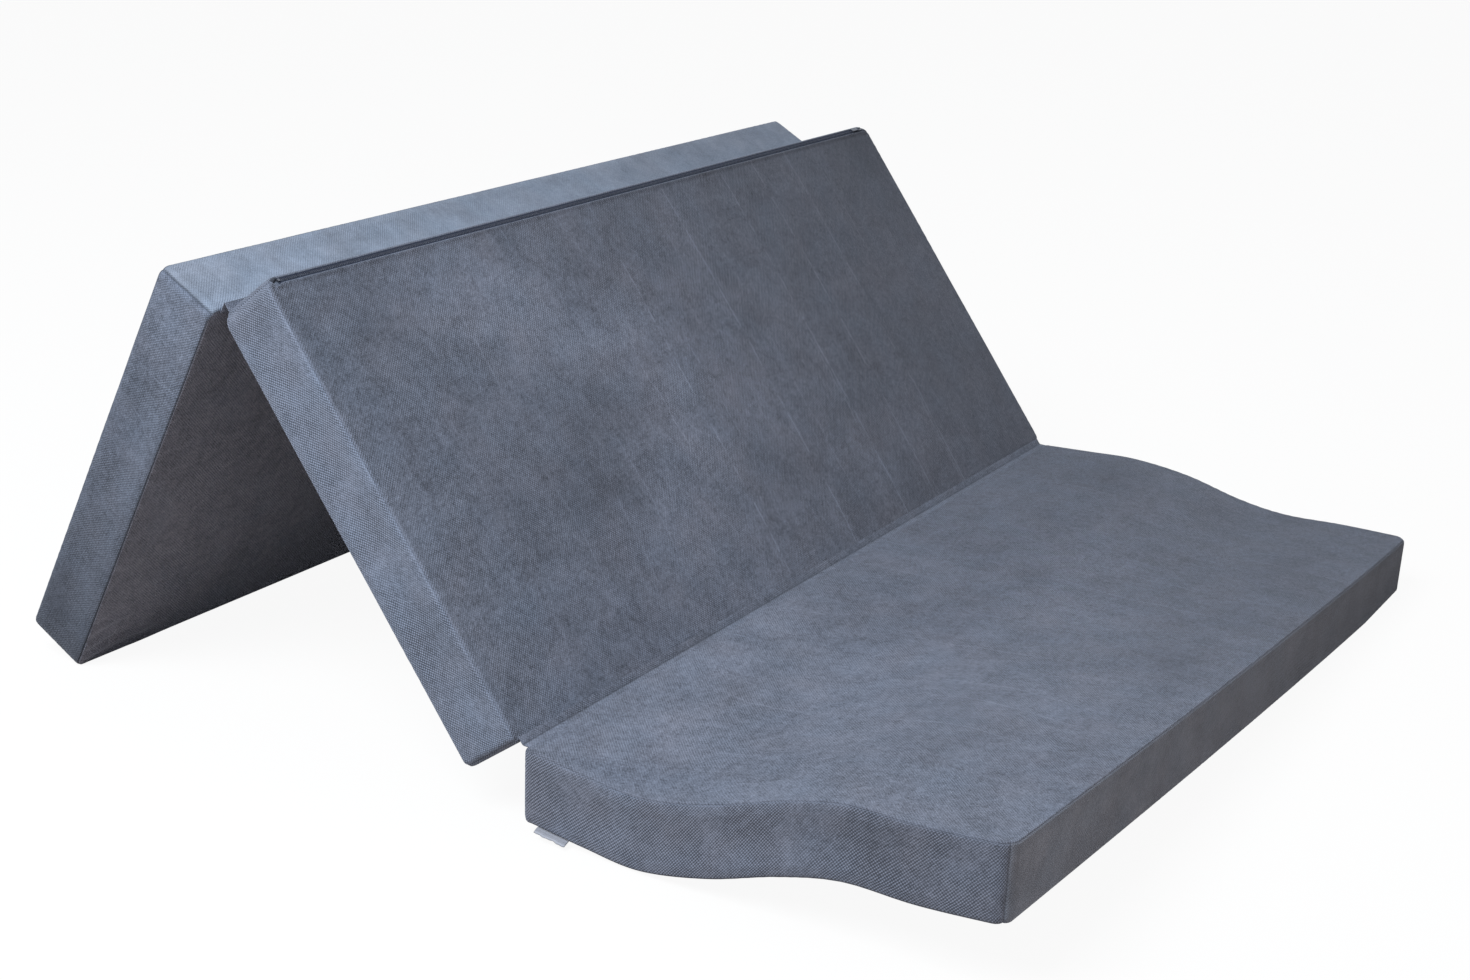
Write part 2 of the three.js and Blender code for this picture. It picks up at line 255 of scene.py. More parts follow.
def stations(size, fine, coarse, growth=1.35):
    # close together in the rounded edges, and further apart in the middle
    edge = panelSizes["edgeRound"]
    near = [edge * s for s in fine]
    reach, step, places = edge, edge * (1 - fine[-2]), []
    while reach < size / 2:
        places.append(reach)
        step = min(step * growth, coarse)
        reach += step
    places = np.array(places[1:])
    places = edge + (places - edge) * (size / 2 - edge) / (places[-1] - edge)
    left = np.concatenate([near, places])
    return np.concatenate([left, size - left[-2::-1]])


sideNames = ["top", "base", "left", "right", "near", "far"]


def blockSkin(fine, steps):
    # The closed skin of a block of a panel's size: its places, and its faces with the side that each is on.
    xs, ys, ns = (stations(size, fine, step) for size, step in zip(panelSpan, steps))
    shape = (len(xs), len(ys), len(ns))
    index = np.indices(shape)
    outer = np.zeros(shape, bool)
    for axis in range(3):
        outer |= (index[axis] == 0) | (index[axis] == shape[axis] - 1)
    ids = np.full(shape, -1)
    ids[outer] = np.arange(outer.sum())
    i, j, k = (index[a][outer] for a in range(3))
    sides = ((ids[:, :, -1], 1), (ids[:, :, 0], -1), (ids[0, :, :], -1), (ids[-1, :, :], 1),
             (ids[:, 0, :], 1), (ids[:, -1, :], -1))      # as in sideNames, with the way round its faces
    faces, kinds = [], []
    for number, (grid, way) in enumerate(sides):
        corners = [grid[:-1, :-1], grid[1:, :-1], grid[1:, 1:], grid[:-1, 1:]][::way]
        faces.append(np.stack(corners, -1).reshape(-1, 4))
        kinds.append(np.full(len(faces[-1]), number))
    return xs[i], ys[j], ns[k], np.vstack(faces), np.concatenate(kinds)


def addObject(name, data):
    made = bpy.data.objects.new(name, data)
    bpy.context.scene.collection.objects.link(made)
    return made


def makeObject(name, points, faces, rounded=True):
    mesh = bpy.data.meshes.new(name)
    mesh.vertices.add(len(points))
    mesh.vertices.foreach_set("co", np.asarray(points, np.float32).ravel())
    mesh.loops.add(faces.size)
    mesh.loops.foreach_set("vertex_index", faces.astype(np.int32).ravel())
    mesh.polygons.add(len(faces))
    mesh.polygons.foreach_set("loop_start", np.arange(0, faces.size, faces.shape[1], dtype=np.int32))
    mesh.update(calc_edges=True)
    mesh.validate()
    mesh.polygons.foreach_set("use_smooth", np.full(len(mesh.polygons), rounded))
    return addObject(name, mesh)


def faceOutward(made):
    skin = bmesh.new()
    skin.from_mesh(made.data)
    bmesh.ops.recalc_face_normals(skin, faces=skin.faces)
    skin.to_mesh(made.data)
    skin.free()


def layUv(made, u, v):
    # the cloth's own flat measure, in metres
    layer = made.data.uv_layers.new(name="cloth")
    layer.data.foreach_set("uv", np.stack([u, v], 1).astype(np.float32).ravel())


def layShares(made, name, values, domain="POINT"):
    # a number or a direction for each point or face corner, for the finishes and the repeats to read
    kind, word = ("FLOAT_VECTOR", "vector") if values.ndim > 1 else ("FLOAT", "value")
    layer = made.data.attributes.new(name, kind, domain)
    layer.data.foreach_set(word, values.astype(np.float32).ravel())


class Value:
    # one socket, which sums and products can be written with
    def __init__(self, work, socket):
        self.work = work
        self.socket = socket

    def math(self, operation, *others):
        return self.work.node("ShaderNodeMath", {"operation": operation}, dict(enumerate((self, *others))))

    def __add__(self, other):
        return self.math("ADD", other)

    __radd__ = __add__

    def __mul__(self, other):
        return self.math("MULTIPLY", other)

    __rmul__ = __mul__

    def __sub__(self, other):
        return self.math("SUBTRACT", other)

    def __rsub__(self, other):
        return self.work.node("ShaderNodeMath", {"operation": "SUBTRACT"}, {0: other, 1: self})

    def size(self):
        return self.math("ABSOLUTE")

    def sine(self):
        return self.math("SINE")

    def swing(self, share):
        # a pattern's ups and downs about its middle
        return (self - 0.5) * share

    def between(self, low, high):
        # 0 at low and 1 at high, smoothly
        return self.work.node("ShaderNodeMapRange", {"interpolation_type": "SMOOTHSTEP"},
                              {"Value": self, "From Min": low, "From Max": high})

    def beside(self, output):
        # another output of the same node
        return Value(self.work, self.socket.node.outputs[output])


class NodeWork:
    # a tree of nodes, and the one way to add a node to it
    def __init__(self, tree):
        self.tree = tree
        tree.nodes.clear()

    def node(self, kind, settings=None, values=None, output=0):
        made = self.tree.nodes.new(kind)
        for key, value in (settings or {}).items():
            setattr(made, key, value)
        for key, value in (values or {}).items():
            if isinstance(value, Value):
                self.tree.links.new(value.socket, made.inputs[key])
            else:
                made.inputs[key].default_value = value
        return Value(self, made.outputs[output]) if len(made.outputs) else None


class Finish(NodeWork):
    # the nodes of one material, or of the world
    def __init__(self, name, owners=bpy.data.materials):
        self.owner = owners.new(name)
        self.owner.use_nodes = True
        super().__init__(self.owner.node_tree)

    def place(self):
        return self.node("ShaderNodeTexCoord", None, None, "Object")

    def clothPlace(self):
        return self.node("ShaderNodeUVMap", {"uv_map": "cloth"})

    def parts(self, vector):
        x = self.node("ShaderNodeSeparateXYZ", None, {0: vector})
        return x, x.beside(1), x.beside(2)

    def share(self, name):
        return self.node("ShaderNodeAttribute", {"attribute_name": name}, None, "Fac")

    def noise(self, where, scale, detail=2.0, roughness=0.5, distortion=0.0, dimensions="2D"):
        return self.node("ShaderNodeTexNoise", {"noise_dimensions": dimensions}, {
            "Vector": where, "Scale": scale, "Detail": detail,
            "Roughness": roughness, "Distortion": distortion})

    def mix(self, factor, first, second, blend="MIX"):
        return self.node("ShaderNodeMix", {"data_type": "RGBA", "blend_type": blend},
                         {0: factor, 6: first, 7: second}, 2)

    def bump(self, strength, height, distance=0.0002):
        return self.node("ShaderNodeBump", None, {"Strength": strength, "Distance": distance, "Height": height})

    def seen(self):
        # 1 for what the camera sees, straight, in metal or through glass
        path = self.node("ShaderNodeLightPath")
        seen = path
        for name in ("Is Glossy Ray", "Is Transmission Ray"):
            seen = seen.math("MAXIMUM", path.beside(name))
        return seen

    def finished(self, shader, output="ShaderNodeOutputMaterial"):
        self.node(output, None, {"Surface": shader})
        return self.owner

    def principled(self, values):
        return self.finished(self.node("ShaderNodeBsdfPrincipled", None, values))


def colour(r, g, b):
    # a colour as seen on a screen, 0 to 255, made linear
    parts = [c / 255 for c in (r, g, b)]
    return tuple(c / 12.92 if c <= 0.04045 else ((c + 0.055) / 1.055) ** 2.4 for c in parts) + (1,)


def scaled(shade, share):
    return tuple(min(c * share, 1) for c in shade[:3]) + (1,)


velour = {
    "base": (0.165, 0.191, 0.256),
    "band": (0.160, 0.184, 0.246),
    "smooth": (0.158, 0.190, 0.248),
    # cool tints the lit places and warm the shaded ones: painted light and shade in the hue
    "litCool": (0.90, 1.0, 1.035, 1),
    "shadeWarm": (1.11, 0.985, 0.90, 1),
    "ribPitch": 0.0032,
    "crossShare": 0.85,
    "ribDepth": 0.0005,
    "sheen": 0.3,
    "sheenRoughness": 0.42,
    "sheenTint": (0.72, 0.82, 1.0, 1.0),
    "linePitch": 0.105,       # the faint lines that folding leaves in the nap
    "lineSpan": (0.004, 0.02),
    "creases": (0.655, 0.842, 1.008, 1.105, 1.208),
    "creaseSpan": (0.0006, 0.0024),
    "creaseShare": 0.5,
    "darkShare": 0.42,
    "lightShare": 1.58,
    "roughness": 0.82,
    # the cloth's patterns: scale, detail, roughness and distortion
    "patterns": {
        "wide": (6, 3, 0.6, 0.3), "patch": (21, 4, 0.62, 0.2), "mottle": (75, 3, 0.65), "wear": (10, 3, 0.5),
        "fuzz": (640, 2, 0.75), "tuft": (235, 3, 0.7), "faint": (4, 2, 0.6), "hue": (13, 2, 0.5),
    },
}


def velourFinish(name, shade, ribShare, lineShare, grain=1.0, creases=()):
    f = Finish(name)
    uv = f.clothPlace()
    u, v, _ = f.parts(uv)
    rise, fall = u + v, u - v
    wide, patch, mottle, wear, fuzz, tuft, faint, hue = (
        f.noise(uv, *pattern) for pattern in velour["patterns"].values())
    fibre = f.noise(f.node("ShaderNodeCombineXYZ", None, {0: rise * 420, 1: fall * 60}), 1, 2, 0.6)
    pace = 2 * math.pi / velour["ribPitch"] / math.sqrt(2)
    bend = patch.swing(2.4)
    rib = (rise * pace + bend).sine()
    cross = (fall * pace + bend).sine()
    kept = wear.between(0.32, 0.6) * 0.6 + 0.4
    weave = (rib + cross * velour["crossShare"] + rib * cross * 0.4) * kept * (tuft * 1.2 + 0.4)
    cell = (u + wide.swing(0.03)) * (1 / velour["linePitch"])
    turn = f.node("ShaderNodeTexWhiteNoise", {"noise_dimensions": "1D"}, {"W": cell.math("FLOOR")})
    across = (cell.math("FRACT") - turn * 0.5 - 0.25).size()
    line = (1 - across.between(*velour["lineSpan"])) * faint.between(0.42, 0.66)
    spots = mottle.swing(0.7) + tuft.swing(1.0) + fuzz.swing(0.9) + fibre.swing(0.7)
    tone = 0.5 + wide.swing(0.4) + patch.swing(0.6) + spots * grain
    # lighter beside the seams: rubbed wear, with a painted highlight on the welt
    tone = tone + weave * ribShare + line * lineShare + f.share("seamRubAndHighlight") * 0.25
    for place in creases:
        gap = (u + wide.swing(0.006) - place).size()
        crease = (1 - gap.between(*velour["creaseSpan"])) * patch.between(0.35, 0.6)
        tone = tone + crease * velour["creaseShare"]
    base = f.mix(tone, scaled(shade, velour["darkShare"]), scaled(shade, velour["lightShare"]))
    # painted light and shade in the hue, warm where shaded and cool where lit, with a random drift of hue
    cast = f.mix(f.share("shadeWarmth") + hue.swing(0.5), velour["litCool"], velour["shadeWarm"])
    base = f.mix(1.0, base, cast, "MULTIPLY")
    # the nap's lightness, with painted light and shade in it, scales the colour
    base = f.node("ShaderNodeVectorMath", {"operation": "SCALE"}, {0: base, "Scale": f.share("napAndShade")})
    height = weave * 0.6 + fuzz.swing(1.0) + tuft.swing(1.3) + patch.swing(1.2)
    return f.principled({
        "Base Color": base, "Roughness": velour["roughness"] + tone.swing(0.2), "Specular IOR Level": 0.15,
        "Sheen Weight": velour["sheen"], "Sheen Roughness": velour["sheenRoughness"],
        "Sheen Tint": velour["sheenTint"], "Normal": f.bump(0.8, height, velour["ribDepth"])})


clothFinishes = {
    "top": velourFinish("topVelour", velour["base"], 0.2, 0.32),
    "base": velourFinish("baseVelour", velour["base"], 0.08, 0),
    "band": velourFinish("bandVelour", velour["band"], 0.46, 0, 0.85),
    "smooth": velourFinish("smoothVelour", velour["smooth"], 0.03, 0, 0.4),
    "creased": velourFinish("creasedVelour", velour["base"], 0.18, 0.25, 1.0, velour["creases"]),
}


def plainFinish(name, shade, roughness, metallic=0.0):
    f = Finish(name)
    grain = f.noise(f.place(), 900, 3, dimensions="3D")
    return f.principled({
        "Base Color": f.mix(grain * 0.5, shade, scaled(shade, 0.7)), "Roughness": roughness,
        "Metallic": metallic, "Normal": f.bump(0.2, grain)})


def wovenFinish(name, shade, pitch, roughness):
    # a tape whose threads cross at right angles
    f = Finish(name)
    where = f.place()
    x, y, z = f.parts(where)
    pace = 2 * math.pi / pitch
    weave = (x * pace).sine() * ((y + z) * pace).sine()
    grain = f.noise(where, 800, 2, dimensions="3D")
    base = f.mix(0.5 + weave * 0.2 + grain.swing(0.6), scaled(shade, 0.7), scaled(shade, 1.3))
    return f.principled({
        "Base Color": base, "Roughness": roughness, "Specular IOR Level": 0.3,
        "Normal": f.bump(0.6, weave + grain)})


foamFinish = plainFinish("openCellFoam", colour(238, 232, 210), 0.95)
tapeFinish = wovenFinish("wovenTape", colour(36, 45, 64), 0.0009, 0.85)
coilFinish = plainFinish("nylonCoil", colour(34, 43, 64), 0.42)
metalFinish = plainFinish("zipMetal", colour(104, 110, 122), 0.35, 0.85)
threadFinish = plainFinish("lightThread", colour(140, 150, 172), 0.6)
darkThreadFinish = plainFinish("darkThread", colour(46, 56, 80), 0.6)
print("finishes made")

coverSizes = {
    "steps": (0.007, 0.007, 0.004),
    # places in the rounded edge, close together where the cloth folds over the zip's tapes
    "fineShares": [0, 0.03, 0.06, 0.098, 0.13, 0.164, 0.2, 0.25, 0.302, 0.331,
                   0.4, 0.507, 0.6, 0.682, 0.711, 0.78, 0.849, 0.916, 1],
    "floorGap": 0.0001,
}

# How the seams show: a welt of turned cloth beside the seam, the sunk seam itself, and puckers across it.
seamSizes = {
    "weltHeight": 0.0006,
    "weltSpan": (0.0002, 0.001, 0.0022, 0.005),
    "rollHeight": 0.0002,
    "rollPlace": 0.0018,
    "rollWidth": 0.001,
    "grooveDepth": 0.0005,
    "grooveWidth": 0.0007,
    "puckerDepth": 0.0004,
    "puckerPitch": 0.0115,
    "puckerReach": 0.009,
    "puckerStart": 0.0012,
    "underFold": (0.014, 0.02),
    "uprightShares": {"front": 0.25, "middle": 0.4, "rear": 0.9},   # how much of it the upright seams have
    "slackStart": (0.004, 0.05),
    # how much and over what reach each of these is uneven
    "weltUneven": (0.25, 0.07),
    "beatUneven": (2.5, 0.05),
    "strengthUneven": (0.75, 0.09),
    "slack": ((0.0009, 0.19), (0.0004, 0.062), (0.00014, 0.021)),
    "strength": (0.35, 1.1),             # of the puckers, its middle and its most
    "hillShifts": (3.1, 7.7, 11.3),      # the top, the base and the bands each have hills of their own
}


def softNoise(u, v, cell, seed, count=64, shift=(17.3, 17.6)):
    # smooth hills from -1 to 1
    hills = np.random.default_rng(seed).uniform(-1, 1, (count, count))
    a, b = np.asarray(u) / cell + shift[0], np.asarray(v) / cell + shift[1]
    i, j = np.floor(a).astype(int), np.floor(b).astype(int)
    s, t = smooth(a - i, 0, 1), smooth(b - j, 0, 1)
    i, j, k, m = i % count, j % count, (i + 1) % count, (j + 1) % count
    low = hills[i, j] * (1 - s) + hills[k, j] * s
    high = hills[i, m] * (1 - s) + hills[k, m] * s
    return low * (1 - t) + high * t


def seamPlaces(x, y, n):
    # how far along the skin the nearest seam is from each place, where along it, and if it is upright
    edge = panelSizes["edgeRound"]
    ways = np.stack([np.minimum(c, size - c) for c, size in zip((x, y, n), panelSpan)])
    order = np.argsort(ways, axis=0, kind="stable")
    away = np.take_along_axis(ways, order, 0)[1]
    away = np.minimum(away, edge) * math.pi / 4 + np.maximum(away - edge, 0)
    return away, np.choose(order[2], (x, y, n)), order[2] == 2


# The seams that the fold cloths cover: for each panel, whether at its far end, and whether at its top.
foldSeams = {"front": [(True, True)], "middle": [(False, True), (True, False)], "rear": [(False, False)]}


def underFold(name, y, n):
    # 1 beside a seam that a fold cloth covers
    share = np.zeros(len(y))
    for far, high in foldSeams[name]:
        gap = np.maximum(panelSizes["depth"] - y if far else y, panelSizes["thickness"] - n if high else n)
        share = np.maximum(share, 1 - smooth(gap, *seamSizes["underFold"]))
    return share


def seamRelief(name, x, y, n, seed):
    s = seamSizes
    away, along, upright = seamPlaces(x, y, n)
    face = (n < 1e-7) | (n > panelSizes["thickness"] - 1e-7)
    lowWelt, fullWelt, fallWelt, endWelt = s["weltSpan"]
    (weltGain, weltCell), (beatGain, beatCell), (gain, cell) = (
        s[word + "Uneven"] for word in ("welt", "beat", "strength"))
    uneven = 1 - weltGain + weltGain * softNoise(along, n * 3, weltCell, seed)
    welt = smooth(away, lowWelt, fullWelt) * (1 - smooth(away, fallWelt, endWelt)) * s["weltHeight"] * uneven
    roll = peak(away - s["rollPlace"], s["rollWidth"]) * s["rollHeight"]
    relief = np.where(face, welt, roll) - peak(away, s["grooveWidth"]) * s["grooveDepth"]
    relief = np.where(upright, relief * s["uprightShares"][name], relief) * (1 - underFold(name, y, n))
    beat = 2 * math.pi * along / s["puckerPitch"] + beatGain * softNoise(along, n * 5, beatCell, seed + 1)
    middle, most = s["strength"]
    strength = np.clip(middle + gain * softNoise(along, n * 4 + x, cell, seed + 2), 0, most)
    reach = np.exp(-away / s["puckerReach"]) * (1 - peak(away, s["puckerStart"]))
    relief = relief + np.sin(beat) * strength * reach * s["puckerDepth"]
    top, base, band = s["hillShifts"]
    side = np.where(face, np.where(n > panelSizes["thickness"] / 2, top, base), band)
    calm = smooth(away, *s["slackStart"])
    for number, (height, cell) in enumerate(s["slack"]):
        relief = relief + calm * height * softNoise(x + side, y + n, cell, seed + 3 + number)
    return relief


zipSizes = {
    # how high the cloth lies over the zip's own plane, by how far it is from the zip's middle
    "profile": ((0, -0.0005), (0.0037, -0.0005), (0.00405, 0.00146), (0.005, 0.0019), (0.0062, 0.0019),
                (0.0075, 0.0017)),
    "fade": (0.0062, 0.01),
    "ends": (0.0065, 0.0095),
    "lowest": -0.012,        # below this is the other side of the panel
    "tapeEnd": 0.0205,
    "openShare": 0.32,       # how much of the edge's round the opening takes past the tapes
    "length": 1.451,
    "toothPitch": 0.0016,
    "toothSlant": 0.3,
    "toothRadius": 0.00036,
    "tooth": ((-0.00195, 0.0007), (-0.0019, 0.00145), (-0.0012, 0.00205), (0, 0.0022), (0.0012, 0.00205),
              (0.0019, 0.00145), (0.00195, 0.0007)),
}


def zipLine(name):
    # the zip's middle in the panel's flat frame, its outward direction and the direction across it
    p = panelSizes
    slope = math.atan2(p["drawnIn"], p["edgeRound"] - p["drawnIn"])
    y = p["depth"] - (p["drawnIn"] + p["edgeRound"]) / 2
    sine, cosine = math.sin(slope), math.cos(slope)
    if name == "front":
        return (y, p["drawnIn"] / 2 + standing["foldLift"]), (sine, -cosine), (cosine, sine)
    return (y, p["thickness"] - p["drawnIn"] / 2), (sine, cosine), (cosine, -sine)


def lipCloth(name, points, x):
    # lays the cloth under the zip and folds it over the outer edges of the tapes
    middle, out, across = zipLine(name)
    dy, dn = points[:, 1] - middle[0], points[:, 2] - middle[1]
    away = np.abs(dy * across[0] + dn * across[1])
    height = dy * out[0] + dn * out[1]
    share = smooth(np.minimum(x, panelSizes["width"] - x), *zipSizes["ends"])
    share = share * (1 - smooth(away, *zipSizes["fade"])) * (height > zipSizes["lowest"])
    move = (np.interp(away, *zip(*zipSizes["profile"])) - height) * share
    points[:, 1] += move * out[0]
    points[:, 2] += move * out[1]


# Wrinkles, listed one by one: the panel, the side, where each starts and ends on it, its width and its depth,
# in metres.
wrinkles = [
    ("rear", "base", (0.004, 0.622), (0.070, 0.604), 0.0075, 0.0030),
    ("rear", "base", (0.003, 0.594), (0.056, 0.578), 0.0070, 0.0026),
    ("rear", "base", (0.010, 0.638), (0.160, 0.628), 0.0080, 0.0026),
    ("rear", "base", (0.003, 0.566), (0.040, 0.556), 0.0065, 0.0020),
    ("rear", "near", (0.020, 0.020), (0.085, 0.075), 0.0045, 0.0010),
    ("rear", "near", (0.060, 0.012), (0.120, 0.050), 0.0040, 0.0008),
    ("rear", "near", (0.150, 0.018), (0.172, 0.062), 0.0035, 0.0007),
    ("rear", "left", (0.028, 0.070), (0.050, 0.098), 0.0030, 0.0010),
    ("front", "left", (0.300, 0.096), (0.372, 0.058), 0.0060, 0.0009),
    ("front", "left", (0.470, 0.090), (0.430, 0.040), 0.0070, 0.0008),
    ("middle", "top", (0.030, 0.630), (0.110, 0.600), 0.0050, 0.0007),
    ("middle", "left", (0.600, 0.090), (0.640, 0.040), 0.0040, 0.0008),
]
wrinkleLip = {"share": 0.55, "place": 1.9, "width": 0.9}      # the raised cloth beside a wrinkle, in its widths
wrinkleTaper = (0.12, 0.82)      # where its depth starts on half a sine, and how much of that it runs through


def wrinkleRelief(name, x, y, n):
    relief = np.zeros(len(x))
    onSide = {"top": n > panelSizes["thickness"] - 1e-7, "base": n < 1e-7, "left": x < 1e-7, "near": y < 1e-7}
    planes = {"top": (x, y), "base": (x, y), "left": (y, n), "near": (x, n)}
    for panel, side, start, end, width, depth in wrinkles:
        if panel != name:
            continue
        u, v = planes[side]
        du, dv = end[0] - start[0], end[1] - start[1]
        share = np.clip(((u - start[0]) * du + (v - start[1]) * dv) / math.hypot(du, dv) ** 2, 0, 1)
        gap = np.hypot(u - start[0] - du * share, v - start[1] - dv * share) / width
        taper = np.sin(math.pi * (wrinkleTaper[0] + wrinkleTaper[1] * share))
        shape = wrinkleLip["share"] * peak(gap - wrinkleLip["place"], wrinkleLip["width"]) - peak(gap, 1)
        relief += np.where(onSide[side], shape * taper * depth, 0)
    return relief


# How light each cloth looks at its low and its high end: partly because the pile lies another way on each, and
# partly painted light and shade, darker away from the lamp and lighter where the sheen catches.
napAndShadeShares = {
    "front": {"top": (0.96, 0.65), "base": (1, 1), "left": (0.87, 1.04), "right": (0.9, 0.9),
              "near": (0.97, 0.34), "far": (0.9, 0.9)},
    "middle": {"top": (0.93, 0.62), "base": (0.9, 0.9), "left": (1.17, 1.17), "right": (1, 1),
               "near": (1, 0.9), "far": (1, 1)},
    "rear": {"top": (0.9, 0.9), "base": (1.12, 0.97), "left": (1.06, 0.35), "right": (0.9, 0.9),
             "near": (1.62, 1.1), "far": (1, 1)},
}
# How warm each cloth's hue is at the same ends, from 0 to 1, where a side isn't even at a half: painted shade,
# warm where it is shaded and cool where the light falls.
shadeWarmShares = {
    "front": {"top": (0.58, 0.65), "near": (0.85, 1), "left": (0.5, 0.55)},
    "middle": {"top": (0.45, 0.75), "left": (0.3, 0.4)},
    "rear": {"base": (1, 0.95), "near": (0.5, 0.6), "left": (0.35, 0.5)},
}
# Where the nap on a top cloth turns darker for good, and the share that it turns by.
napSteps = {
    "front": ((0.57, -0.08), (0.86, -0.07)),
    "middle": ((0.66, -0.05), (0.845, -0.09), (1.01, -0.09), (1.21, -0.08)),
    "rear": (),
}
# Brushed patches on the top cloths: x, y, half width, half depth and share.
napPatches = {
    "front": (
        (0.16, 0.53, 0.05, 0.05, 0.1), (0.45, 0.33, 0.12, 0.1, 0.05), (0.52, 0.62, 0.06, 0.04, 0.12),
        (0.25, 0.18, 0.06, 0.04, -0.1), (0.35, 0.6, 0.05, 0.04, 0.1), (0.68, 0.42, 0.1, 0.06, -0.07),
        (0.7, 0.1, 0.06, 0.05, -0.12), (0.8, 0.33, 0.1, 0.04, 0.07), (1.02, 0.34, 0.1, 0.05, 0.09),
        (1.2, 0.1, 0.15, 0.06, -0.12), (1.38, 0.46, 0.08, 0.05, -0.14), (1.4, 0.3, 0.06, 0.08, -0.12),
        (0.45, 0.06, 0.3, 0.04, -0.07), (0.05, 0.35, 0.04, 0.05, 0.07),
    ),
    "middle": (
        (0.3, 0.555, 0.085, 0.05, 0.27), (0.42, 0.52, 0.07, 0.06, 0.2), (0.55, 0.44, 0.07, 0.035, 0.2),
        (0.58, 0.26, 0.06, 0.07, 0.13), (0.48, 0.16, 0.04, 0.08, 0.14), (0.13, 0.56, 0.04, 0.06, -0.12),
        (0.3, 0.28, 0.11, 0.09, -0.09), (0.45, 0.33, 0.09, 0.05, -0.14), (0.37, 0.23, 0.09, 0.03, -0.14),
        (0.76, 0.17, 0.07, 0.04, -0.12), (0.2, 0.33, 0.02, 0.2, -0.06), (0.6, 0.03, 0.07, 0.03, 0.1),
        (1.45, 0.6, 0.06, 0.06, -0.14), (1.0, 0.63, 0.4, 0.02, -0.08), (1.05, 0.1, 0.12, 0.05, 0.06),
        (0.6, 0.7, 1.4, 0.22, -0.12), (0.7, 0.3, 0.25, 0.16, 0.08),
    ),
    "rear": (),
}
napAndShadeGains = {
    "patches": 1.35,
    "patchFall": 0.7,
    "patchUneven": (0.5, 0.035),      # how much and over what reach
    "patchSeed": 90,
    "seams": {"front": 0.2, "middle": 0.1, "rear": 0.4},      # how dark each panel's seams are: the seam line, with painted shade in its groove
    "seamReach": 0.0022,
    "uprightSeams": 0.15,
    # how dark the cloth inside the zip's opening is: painted shade
    "zipEnds": 0.25,
    "rubAndHighlight": {"front": 0.45, "middle": 1.1, "rear": 0.3},       # how light it is beside them: rubbed wear, with a painted highlight on the welt
    "rubAndHighlightPlace": 0.0014,
    "uprightRubAndHighlight": 0.3,
    "stepHalf": 0.005,
    "stepWave": (0.008, 0.1),
}


def alongSides(shares, kind, x, y, usual):
    # a share for each place, from the low to the high end of its side
    result = np.full(len(x), float(usual))
    for number, side in enumerate(sideNames):
        low, high = shares.get(side, (usual, usual))
        along = y / panelSizes["depth"] if side in ("left", "right") else x / panelSizes["width"]
        result = np.where(kind == number, low + (high - low) * along, result)
    return result


def zipEndPlaces(name, x, y, n):
    # the cloth inside the zip's opening, past the ends of its tapes
    p = panelSizes
    rise = n if name == "front" else p["thickness"] - n
    fromEdge = np.maximum(p["depth"] - y, rise)
    side = np.minimum(x, p["width"] - x)
    opened = fromEdge < p["edgeRound"] * zipSizes["openShare"]
    return opened & (side < zipSizes["tapeEnd"]) & (side > zipSizes["ends"][0])


def napAndShadeOf(name, kind, x, y, n):
    # the nap's lightness for each face corner, with painted light and shade in it
    g = napAndShadeGains
    napAndShade = alongSides(napAndShadeShares[name], kind, x, y, 1)
    away, _, upright = seamPlaces(x, y, n)
    # the seam line, with painted shade in its groove
    dark = g["seams"][name] * np.where(upright & (name != "rear"), g["uprightSeams"], 1)
    napAndShade = napAndShade * (1 - dark * peak(away, g["seamReach"]))
    # painted shade on the cloth inside the zip's opening
    napAndShade = np.where(zipEndPlaces(name, x, y, n), napAndShade * g["zipEnds"], napAndShade)
    (uneven, cell), (wave, waveCell) = g["patchUneven"], g["stepWave"]
    rough = 1 + uneven * softNoise(x, y, cell, g["patchSeed"])
    gains = []
    for place, gain in napSteps[name]:
        shift = wave * softNoise(x * 0, y, waveCell, int(place * 100))
        gains.append(gain * smooth(x - shift, place - g["stepHalf"], place + g["stepHalf"]))
    for px, py, rx, ry, gain in napPatches[name]:
        far = ((x - px) / rx) ** 2 + ((y - py) / ry) ** 2
        gains.append(gain * g["patches"] * np.exp(-far * rough * g["patchFall"]))
    for gain in gains:
        napAndShade = np.where(kind == sideNames.index("top"), napAndShade * (1 + gain), napAndShade)
    return napAndShade


def coverPoints(name, x, y, n):
    points, out = panelSkin(name, x, y, n)
    relief = seamRelief(name, x, y, n, coverSeeds[name]) + wrinkleRelief(name, x, y, n)
    points = points + out * relief[:, None]
    lipCloth(name, points, x)
    return roundCorners(name, points), out


uvCorners = {"top": (0, 0), "base": (0, 1), "left": (0, 2), "right": (1, 2), "near": (0, 2.5), "far": (0, 3)}


